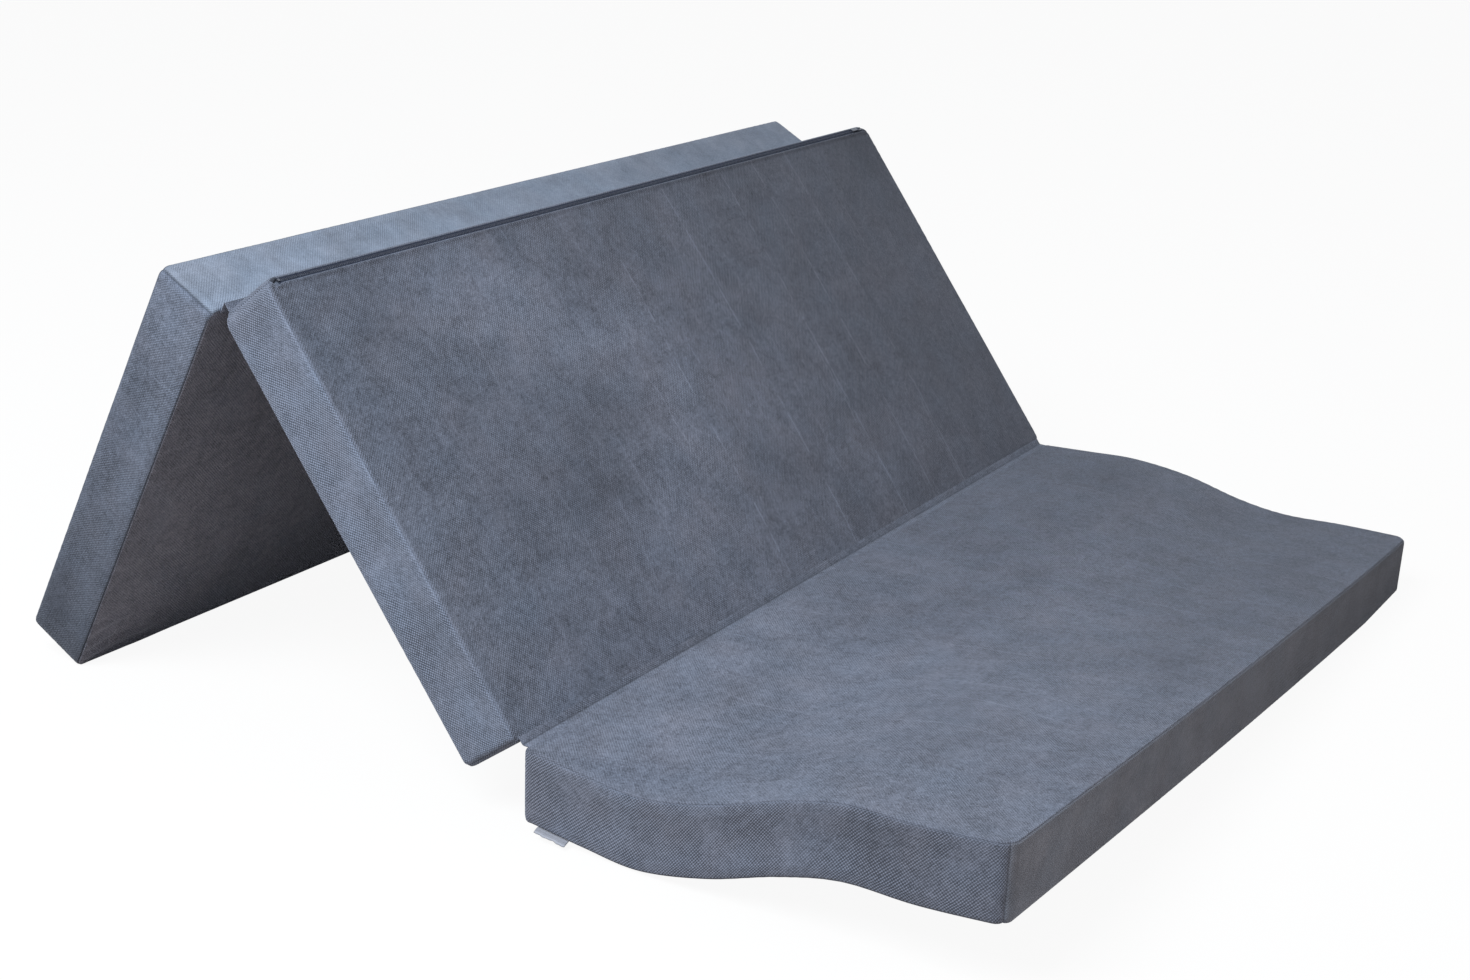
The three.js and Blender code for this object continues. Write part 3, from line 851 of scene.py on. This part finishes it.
def makeCover(name):
    x, y, n, faces, kinds = blockSkin(coverSizes["fineShares"], coverSizes["steps"])
    points = moved(frames[name], coverPoints(name, x, y, n)[0])
    points[:, 2] = np.maximum(points[:, 2], coverSizes["floorGap"])
    made = makeObject(name + "_cover", points, faces)
    corner = faces.ravel()
    cx, cy, cn = x[corner], y[corner], n[corner]
    kind = np.repeat(kinds, 4)
    u = np.where((kind == 2) | (kind == 3), cy, cx)
    v = np.where(kind <= 1, panelSizes["depth"] - cy, cn)
    shift = np.array([uvCorners[side] for side in sideNames])[kind]
    layUv(made, u + shift[:, 0], v + shift[:, 1])
    layShares(made, "napAndShade", napAndShadeOf(name, kind, cx, cy, cn), "CORNER")
    layShares(made, "shadeWarmth", alongSides(shadeWarmShares[name], kind, cx, cy, 0.5), "CORNER")
    away, _, upright = seamPlaces(x, y, n)
    # rubbed wear, and a painted highlight on the welt beside each seam
    rubbedAndLit = peak(away - napAndShadeGains["rubAndHighlightPlace"], napAndShadeGains["rubAndHighlightPlace"]) * (1 - underFold(name, y, n))
    layShares(made, "seamRubAndHighlight", rubbedAndLit * np.where(upright, napAndShadeGains["uprightRubAndHighlight"], 1) * napAndShadeGains["rubAndHighlight"][name])
    for side in ("creased" if name == "middle" else "top", "base", "band", "smooth"):
        made.data.materials.append(clothFinishes[side])
    finishes = np.minimum(kinds, 2)
    if name != "middle":
        finishes = np.where(kinds == sideNames.index("near"), 3, finishes)
    if name == "rear":
        finishes = np.where(kinds == sideNames.index("left"), 0, finishes)
    made.data.polygons.foreach_set("material_index", finishes.astype(np.int32))
    return made


bands = {
    "front": ["front_nose_band", "front_fold_band"],
    "middle": ["middle_lower_band", "middle_upper_band"],
    "rear": ["rear_upper_band", "rear_lower_band"],
}
coverSeeds = {"front": 40, "middle": 50, "rear": 60}
for name in coverSeeds:
    cover = makeCover(name)
    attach(cover, name + "_panel")
    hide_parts(name + "_top_cloth", name + "_base_cloth", name + "_left_band",
                name + "_right_band", *bands[name])
print("covers made")

foamSizes = {"setIn": 0.0034, "steps": (0.02, 0.02, 0.02), "fineShares": [0, 0.15, 0.3, 0.45, 0.6, 0.8, 1],
             "floorGap": 0.002}


def makeFoam(name):
    x, y, n, faces, _ = blockSkin(foamSizes["fineShares"], foamSizes["steps"])
    points, out = panelSkin(name, x, y, n)
    points = moved(frames[name], roundCorners(name, points - out * foamSizes["setIn"]))
    points[:, 2] = np.maximum(points[:, 2], foamSizes["floorGap"])
    made = makeObject(name + "_foam", points, faces)
    made.data.materials.append(foamFinish)
    return made


for name in coverSeeds:
    foam = makeFoam(name)
    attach(foam, name + "_panel")
    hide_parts(name + "_foam_core")
print("foam made")


def thereAndBack(values):
    return np.concatenate([values, values[::-1]])


def bothFaces(middle, normal, cloth):
    # the outline of a cloth of this thickness, there on one face and back on the other
    half = normal * cloth / 2
    return np.concatenate([middle + half, (middle - half)[..., ::-1, :]], -2)


def sweepFaces(count, around):
    # the faces of a strip swept through count outlines, closed at both ends
    ids = np.arange(count * around).reshape(count, around)
    a, b = ids[:-1], ids[1:]
    quads = np.stack([a, b, np.roll(b, -1, 1), np.roll(a, -1, 1)], -1).reshape(-1, 4)
    caps = [[row[i], row[i + 1], row[around - 2 - i], row[around - 1 - i]][::way]
            for row, way in ((ids[0], 1), (ids[-1], -1)) for i in range(around // 2 - 1)]
    return np.vstack([quads, caps])


foldSizes = {
    "frontSetIn": 0.009,
    "rearSetIn": 0.018,
    "cloth": 0.0012,
    "lengthStep": 0.01,
    "flap": 0.0095,
    "sunk": 0.0016,
    "slope": 0.004,
    "lift": -0.0014,
    "bend": 0.0026,
    "steps": 15,
    "creaseReach": 0.0016,
    "creaseShade": 0.5,
    "napTurn": 0.0012,
    # the painted shade's warmth in the fold cloth's hue
    "shadeWarmth": 0.55,
    "rearNapAndShade": ((0.95, 0.9), (1.3, 1.1)),
}


def foldPath(clearance, turn, above):
    # across the fold: out of one cover beside its edge, round a small bend, and into the other cover
    s = foldSizes
    reach = clearance + s["flap"]
    level = clearance - s["lift"] - s["cloth"] / 2
    rise, sunk = (-level, -s["sunk"]) if above else (level, s["sunk"])
    cosine, sine = math.cos(turn), math.sin(turn)
    spin = np.array([[cosine, -sine], [sine, cosine]])
    start = np.array([-reach + s["slope"], rise])
    end = spin @ np.array([reach - s["slope"], rise])
    valley = np.array([math.tan(turn / 2) * -rise, rise])
    first, last = (valley + (q - valley) / np.linalg.norm(q - valley) * s["bend"] for q in (start, end))
    steps = np.linspace(0, 1, s["steps"])[:, None]
    curve = first * (1 - steps) ** 2 + valley * 2 * steps * (1 - steps) + last * steps ** 2
    root, tip = np.array([-reach, rise + sunk]), spin @ np.array([reach, rise + sunk])
    return np.vstack([root, start, (start + first) / 2, curve, (end + last) / 2, end, tip])


def makeFoldStrip(name, pivot, turnFrom, clearance, turn, above, napAndShadeEnds):
    s = foldSizes
    middle = foldPath(clearance, turn, above)
    ways = np.gradient(middle, axis=0)
    ways /= np.linalg.norm(ways, axis=1)[:, None]
    ring = bothFaces(middle, np.stack([-ways[:, 1], ways[:, 0]], 1), s["cloth"])
    run = np.concatenate([[0], np.cumsum(np.linalg.norm(np.diff(middle, axis=0), axis=1))])
    length = panelSizes["width"] - 2 * s["frontSetIn" if above else "rearSetIn"]
    count = int(length / s["lengthStep"]) + 1
    points = np.zeros((count, len(ring), 3))
    points[:, :, 0] = np.linspace(-length / 2, length / 2, count)[:, None]
    points[:, :, 1:] = ring[None]
    flat = points.reshape(-1, 3)
    faces = sweepFaces(count, len(ring))
    matrix = Matrix.Translation(pivot) @ Matrix.Rotation(turnFrom, 4, "X")
    made = makeObject(name, moved(matrix, flat), faces)
    corner = faces.ravel()
    layUv(made, flat[corner, 0], np.tile(thereAndBack(run), count)[corner])
    # the nap, with its painted light and shade, goes from one panel's to the other's, and painted shade darkens
    # the crease
    side = run - run[-1] / 2
    across = thereAndBack(smooth(side, -s["napTurn"], s["napTurn"]))
    crease = thereAndBack(1 - s["creaseShade"] * peak(side, s["creaseReach"]))
    along = np.linspace(0, 1, count)[:, None]
    near, far = (low + (high - low) * along for low, high in napAndShadeEnds)
    layShares(made, "napAndShade", ((near * (1 - across) + far * across) * crease).ravel())
    layShares(made, "shadeWarmth", np.full(len(flat), s["shadeWarmth"]))
    made.data.materials.append(clothFinishes["top"])
    faceOutward(made)
    return made, moved(matrix, np.array([(0, *middle[0]), (0, *middle[-1])])), float(run[-1]), length


rearTurn = frames["rear"].to_euler().x - frontTurn
for name, pivot, turnFrom, clearance, turn, above, pair, napAndShadeEnds in (
    ("front_fold_cloth", firstFold, 0, standing["frontClearance"], frontTurn, True,
     ("front_panel", "middle_panel"), (napAndShadeShares["front"]["top"], napAndShadeShares["middle"]["top"])),
    ("rear_fold_cloth", secondFold, frontTurn, standing["rearClearance"], rearTurn, False,
     ("middle_panel", "rear_panel"), foldSizes["rearNapAndShade"]),
):
    strip, ends, width, length = makeFoldStrip(name, pivot, turnFrom, clearance, turn, above, napAndShadeEnds)
    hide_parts(name.replace("cloth", "strip"))
    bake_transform(strip)
print("fold cloths made")


def repeatTree():
    # a shape on every point, turned to the point's facing and along directions
    tree = bpy.data.node_groups.new("repeatedShape", "GeometryNodeTree")
    for name, kind in (("Geometry", "Geometry"), ("Shape", "Object"), ("Size spread", "Float"),
                       ("Turn spread", "Float"), ("Seed", "Int"), ("Material", "Material")):
        tree.interface.new_socket(name=name, in_out="INPUT", socket_type="NodeSocket" + kind)
    tree.interface.new_socket(name="Geometry", in_out="OUTPUT", socket_type="NodeSocketGeometry")
    g = NodeWork(tree)
    given = g.node("NodeGroupInput")
    sizeSpread, turnSpread, seed = (given.beside(name) for name in ("Size spread", "Turn spread", "Seed"))

    def chance(low, high):
        return g.node("FunctionNodeRandomValue", {"data_type": "FLOAT"}, {2: low, 3: high, "Seed": seed}, 1)

    shape = g.node("GeometryNodeObjectInfo", None, {"Object": given.beside("Shape"), "As Instance": True},
                   "Geometry")
    facing, along = (g.node("GeometryNodeInputNamedAttribute", {"data_type": "FLOAT_VECTOR"}, {"Name": name})
                     for name in ("facing", "along"))
    up = g.node("FunctionNodeAlignRotationToVector", {"axis": "Z"}, {"Vector": facing})
    ahead = g.node("FunctionNodeAlignRotationToVector", {"axis": "X", "pivot_axis": "Z"},
                   {"Rotation": up, "Vector": along})
    turn = g.node("FunctionNodeAxisAngleToRotation", None,
                  {"Axis": (0, 0, 1), "Angle": chance(turnSpread * -1.0, turnSpread)})
    way = g.node("FunctionNodeRotateRotation", {"rotation_space": "LOCAL"}, {0: ahead, 1: turn})
    size = chance(1.0 - sizeSpread, 1.0 + sizeSpread)
    placed = g.node("GeometryNodeInstanceOnPoints", None,
                    {"Points": given, "Instance": shape, "Rotation": way, "Scale": size})
    real = g.node("GeometryNodeRealizeInstances", None, {0: placed})
    painted = g.node("GeometryNodeSetMaterial", None, {0: real, "Material": given.beside("Material")})
    g.node("NodeGroupOutput", None, {0: painted})
    return tree


repeatedShape = repeatTree()


def repeatAlong(name, shape, points, facing, along, sizeSpread, turnSpread, seed, material):
    # puts the shape on every point and hands back one plain mesh
    source = makeObject(name + "_points", points, np.zeros((0, 4), int))
    layShares(source, "facing", facing)
    layShares(source, "along", along)
    modifier = source.modifiers.new("repeat", "NODES")
    modifier.node_group = repeatedShape
    inputs = {item.name: item.identifier for item in repeatedShape.interface.items_tree
              if item.item_type == "SOCKET" and item.in_out == "INPUT"}
    for key, value in (("Shape", shape), ("Size spread", sizeSpread), ("Turn spread", turnSpread),
                       ("Seed", seed), ("Material", material)):
        modifier[inputs[key]] = value
    graph = bpy.context.evaluated_depsgraph_get()
    made = addObject(name, bpy.data.meshes.new_from_object(source.evaluated_get(graph)))
    bpy.data.objects.remove(source)
    return made


def tubeAlong(name, places, radii, around):
    # a closed tube through places in the x-z or the y-z plane, as a small shape to repeat
    places = np.asarray(places, float)
    ahead = np.gradient(places, axis=0)
    ahead /= np.linalg.norm(ahead, axis=1)[:, None]
    flat = np.array([0, 1.0, 0]) if np.ptp(places[:, 1]) < 1e-9 else np.array([1.0, 0, 0])
    points, faces = [], []
    for place, way, radius in zip(places, ahead, radii):
        side = flat - way * np.dot(flat, way)
        side /= np.linalg.norm(side)
        lift = np.cross(way, side)
        for i in range(around):
            angle = 2 * math.pi * i / around
            points.append(tuple(place + (side * math.cos(angle) + lift * math.sin(angle)) * radius))
    for low in range(0, (len(places) - 1) * around, around):
        for i in range(around):
            j = (i + 1) % around
            faces.append((low + i, low + j, low + around + j, low + around + i))
    faces.append(tuple(range(around))[::-1])
    faces.append(tuple(range((len(places) - 1) * around, len(places) * around)))
    mesh = bpy.data.meshes.new(name)
    mesh.from_pydata(points, [], faces)
    mesh.polygons.foreach_set("use_smooth", np.ones(len(mesh.polygons), bool))
    return addObject(name, mesh)


stitchSizes = {
    "pitch": 0.0036,
    "half": 0.00125,
    "radius": 0.00028,
    # places along the stitch in halves, with its height and thickness there in radii
    "shape": ((-1, -1, 0.4), (-0.6, 0, 0.9), (0, 0.4, 1), (0.6, 0, 0.9), (1, -1, 0.4)),
    "sunk": 0.00035,
    "cornerGap": 0.017,
    "floorGap": 0.004,
    "sizeSpread": 0.1,
    "turnSpread": 0.12,
}


def seamPath(name, high):
    # places along the seams round a panel's top or base, without the one beside its zip
    s = stitchSizes
    width, depth, thick = panelSpan
    across, down = (np.arange(s["cornerGap"], size - s["cornerGap"], s["pitch"]) for size in (width, depth))
    runs = [(across, across * 0), (down * 0, down), (down * 0 + width, down)]
    if high == (name == "front"):
        runs.append((across, across * 0 + depth))
    places, facing, along = [], [], []
    for x, y in runs:
        points, out = coverPoints(name, x, y, x * 0 + (thick if high else 0.0))
        ahead = np.gradient(points, axis=0)
        points = moved(frames[name], points + out * -s["sunk"])
        kept = points[:, 2] > s["floorGap"]
        places.append(points[kept])
        facing.append(turned(name, out)[kept])
        along.append(turned(name, ahead)[kept])
    return np.vstack(places), np.vstack(facing), np.vstack(along)


def makeStitch():
    half, radius, shape = (stitchSizes[key] for key in ("half", "radius", "shape"))
    places = [(half * x, 0, radius * z) for x, z, _ in shape]
    return tubeAlong("stitch", places, [radius * thick for *_, thick in shape], 6)


stitch = makeStitch()
for name in coverSeeds:
    for high, label, finish in ((True, "top", threadFinish), (False, "base", darkThreadFinish)):
        sewn = repeatAlong(name + "_" + label + "_stitches", stitch, *seamPath(name, high),
                           stitchSizes["sizeSpread"], stitchSizes["turnSpread"], coverSeeds[name], finish)
        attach(sewn, name + "_panel")
bpy.data.objects.remove(stitch)
print("seams stitched")

zipTooth = tubeAlong("tooth", [(0, *place) for place in zipSizes["tooth"]],
                     [zipSizes["toothRadius"]] * len(zipSizes["tooth"]), 5)


def makeCoil(name):
    middle, out, across = zipLine(name)
    count = int(zipSizes["length"] / zipSizes["toothPitch"])
    x = (np.arange(count) - (count - 1) / 2) * zipSizes["toothPitch"] + panelSizes["width"] / 2
    points = np.stack([x, x * 0 + middle[0], x * 0 + middle[1]], 1)
    facing = turned(name, np.tile((0, *out), (count, 1)))
    slant = np.where(np.arange(count) % 2, zipSizes["toothSlant"], -zipSizes["toothSlant"])
    along = turned(name, np.stack([np.cos(slant), np.sin(slant) * across[0], np.sin(slant) * across[1]], 1))
    return repeatAlong(name + "_coil_teeth", zipTooth, moved(frames[name], points), facing, along, 0.0, 0.0, 7,
                       coilFinish)


for name in coverSeeds:
    coil = makeCoil(name)
    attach(coil, name + "_panel")
    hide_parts(name + "_zip_coil")
bpy.data.objects.remove(zipTooth)

zipFinishes = {"tape": tapeFinish, "slider": metalFinish, "pull": metalFinish, "stop": metalFinish}
for node, item in frame["nodes"].items():
    for word, finish in zipFinishes.items():
        if "zip" in node and node.endswith(word):
            for slot in item.material_slots:
                slot.material = finish
print("zips dressed")

labelSizes = {
    "fromFold": 0.025,
    "width": 0.047,
    "drop": 0.0036,
    "reach": 0.0095,
    "cloth": 0.0004,
    "steps": (28, 9),
    "floorGap": 0.0002,
    "sewnAt": (0.0002, 0.0009),      # out of the seam and below it
    "curve": (0.9, 1.1),
    "bulge": 0.0006,
    "mouth": 0.0003,
    "leans": ((0.0008, 0.45), (0.0005, 1.1)),
    "wave": (0.06, 0.3),
    "threads": (0.0007, 0.0009),
    "edgeSpan": (0.0006, 0.0011),
}


def satinFinish(name, shade):
    # satin threads, with a slightly darker band woven in along each edge
    f = Finish(name)
    uv = f.clothPlace()
    u, v, _ = f.parts(uv)
    warp, weft = ((part * (2 * math.pi / pitch)).sine() * 0.5
                  for part, pitch in zip((u, v), labelSizes["threads"]))
    thread = warp + weft
    grain = f.noise(uv, 900, 2)
    half = labelSizes["drop"]
    edge = 1 - ((v - half).size() - half * 0.62).size().between(*labelSizes["edgeSpan"])
    base = f.mix(0.5 + thread * 0.12 + grain.swing(0.4) - edge * 0.4, scaled(shade, 0.62), scaled(shade, 1.15))
    return f.principled({"Base Color": base, "Roughness": 0.5 + grain * 0.15, "Sheen Weight": 0.2,
                         "Normal": f.bump(0.5, thread)})


def makeLabel():
    # a ribbon folded in two, sewn into the seam, so its two layers hang from it and meet in a fold below
    s = labelSizes
    across, down = s["steps"]
    far = panelSizes["depth"] - s["fromFold"]
    y = np.linspace(far - s["width"], far, across)
    seam = panelSkin("front", y * 0, y, y * 0)[0]
    share = np.concatenate([np.linspace(0, 1, down), np.linspace(1, 0, down)[1:]])
    half = np.concatenate([np.full(down, 1.0), np.full(down - 1, -1.0)])
    spread = s["bulge"] * np.sin(np.pi * np.minimum(share, 0.999)) + s["mouth"] * (1 - share)
    (sewnOut, sewnDown), (outCurve, downCurve), (wave, pace) = s["sewnAt"], s["curve"], s["wave"]
    rows = []
    for i in range(across):
        lean = sum(size * math.sin(i * beat) for size, beat in s["leans"])
        out = -sewnOut - s["reach"] * share ** outCurve + half * spread - lean * share
        fall = -sewnDown - s["drop"] * share ** downCurve * (1 + wave * math.sin(i * pace))
        rows.append(np.stack([seam[i, 0] + out, np.full(len(share), seam[i, 1]), seam[i, 2] + fall], 1))
    middle = np.array(rows)
    ways = np.gradient(middle, axis=1)
    normal = np.stack([ways[..., 2], ways[..., 1] * 0, -ways[..., 0]], -1)
    normal /= np.linalg.norm(normal, axis=2)[..., None]
    ring = bothFaces(middle, normal, s["cloth"])
    ring[..., 2] = np.maximum(ring[..., 2], s["floorGap"])
    count, around = ring.shape[:2]
    faces = sweepFaces(count, around)
    made = makeObject("front_blank_label", moved(frames["front"], ring.reshape(-1, 3)), faces)
    corner = faces.ravel()
    length = thereAndBack(np.linspace(0, 1, around // 2))
    layUv(made, np.repeat(y, around)[corner], np.tile(length * s["drop"] * 2, count)[corner])
    made.data.materials.append(satinFinish("satinLabel", colour(176, 180, 192)))
    faceOutward(made)
    return made


label = makeLabel()
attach(label, "front_panel")
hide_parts("front_label")
print("label made")

cameraPlace = {
    "azimuth": math.radians(-58.20),
    "elevation": math.radians(19.75),
    "roll": math.radians(2.49),
    "position": (-2.5716, -1.5372, 1.2835),
    "focal": 2114.9,          # in pixels of the image's width
    "imageWidth": 1470,
    "sensor": 36,
    "clip": (0.05, 60),
}


def makeCamera():
    c = cameraPlace
    az, el = c["azimuth"], c["elevation"]
    back = Vector((math.sin(az) * math.cos(el), -math.cos(az) * math.cos(el), math.sin(el)))
    right = (-back).cross(Vector((0, 0, 1))).normalized()
    up = right.cross(-back)
    cosine, sine = math.cos(c["roll"]), math.sin(c["roll"])
    right, up = right * cosine + up * sine, up * cosine - right * sine
    data = bpy.data.cameras.new("camera")
    data.sensor_width = c["sensor"]
    data.lens = c["focal"] / c["imageWidth"] * c["sensor"]
    data.clip_start, data.clip_end = c["clip"]
    camera = addObject("camera", data)
    turn = Matrix((right, up, back)).transposed().to_4x4()
    camera.matrix_world = Matrix.Translation(c["position"]) @ turn
    bpy.context.scene.camera = camera


makeCamera()

stage = {
    "floorSize": 40,
    "white": (1, 1, 1, 1),
    "glow": 0.93,                          # how much of the floor's own white the camera sees
    "bounce": (0.50, 0.43, 0.385, 1),      # what the floor sends back to the object
    "sky": (0.93, 0.96, 1.0, 1),
    "skyStrength": 0.36,
}


def makeStage():
    half = stage["floorSize"] / 2
    floor = makeObject("floor", [(-half, -half, 0), (half, -half, 0), (half, half, 0), (-half, half, 0)],
                       np.array([[0, 1, 2, 3]]), False)
    f = Finish("paleFloor")
    pale = f.node("ShaderNodeBsdfDiffuse", None, {"Color": stage["white"]})
    glow = f.node("ShaderNodeEmission", None, {"Color": stage["white"], "Strength": 1})
    bounce = f.node("ShaderNodeBsdfDiffuse", None, {"Color": stage["bounce"]})
    shown = f.node("ShaderNodeMixShader", None, {0: stage["glow"], 1: pale, 2: glow})
    shader = f.node("ShaderNodeMixShader", None, {0: f.seen(), 1: bounce, 2: shown})
    floor.data.materials.append(f.finished(shader))
    floor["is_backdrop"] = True
    w = Finish("studio", bpy.data.worlds)
    lit = w.node("ShaderNodeBackground", None, {"Color": stage["sky"], "Strength": stage["skyStrength"]})
    plain = w.node("ShaderNodeBackground", None, {"Color": stage["white"], "Strength": 1})
    sky = w.node("ShaderNodeMixShader", None, {0: w.seen(), 1: lit, 2: plain})
    bpy.context.scene.world = w.finished(sky, "ShaderNodeOutputWorld")


makeStage()

lamps = {
    "softLamp": {"place": (-3.1, 0.5, 4.0), "aim": (0, 0, 0.2), "size": 2.4, "power": 215,
                 "shade": (0.92, 0.96, 1.0)},
    "warmLamp": {"place": (0.6, -4.2, 0.9), "aim": (0.3, 0, 0.15), "size": 2.2, "power": 26,
                 "shade": (1.0, 0.80, 0.66)},
}
for name, lamp in lamps.items():
    data = bpy.data.lights.new(name, "AREA")
    data.shape = "SQUARE"
    data.size, data.energy, data.color = lamp["size"], lamp["power"], lamp["shade"]
    turn = (Vector(lamp["aim"]) - Vector(lamp["place"])).to_track_quat("-Z", "Y").to_matrix().to_4x4()
    addObject(name, data).matrix_world = Matrix.Translation(lamp["place"]) @ turn
print("camera, floor and lamps set")

bpy.context.scene.view_settings.view_transform = "Standard"
low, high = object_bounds()
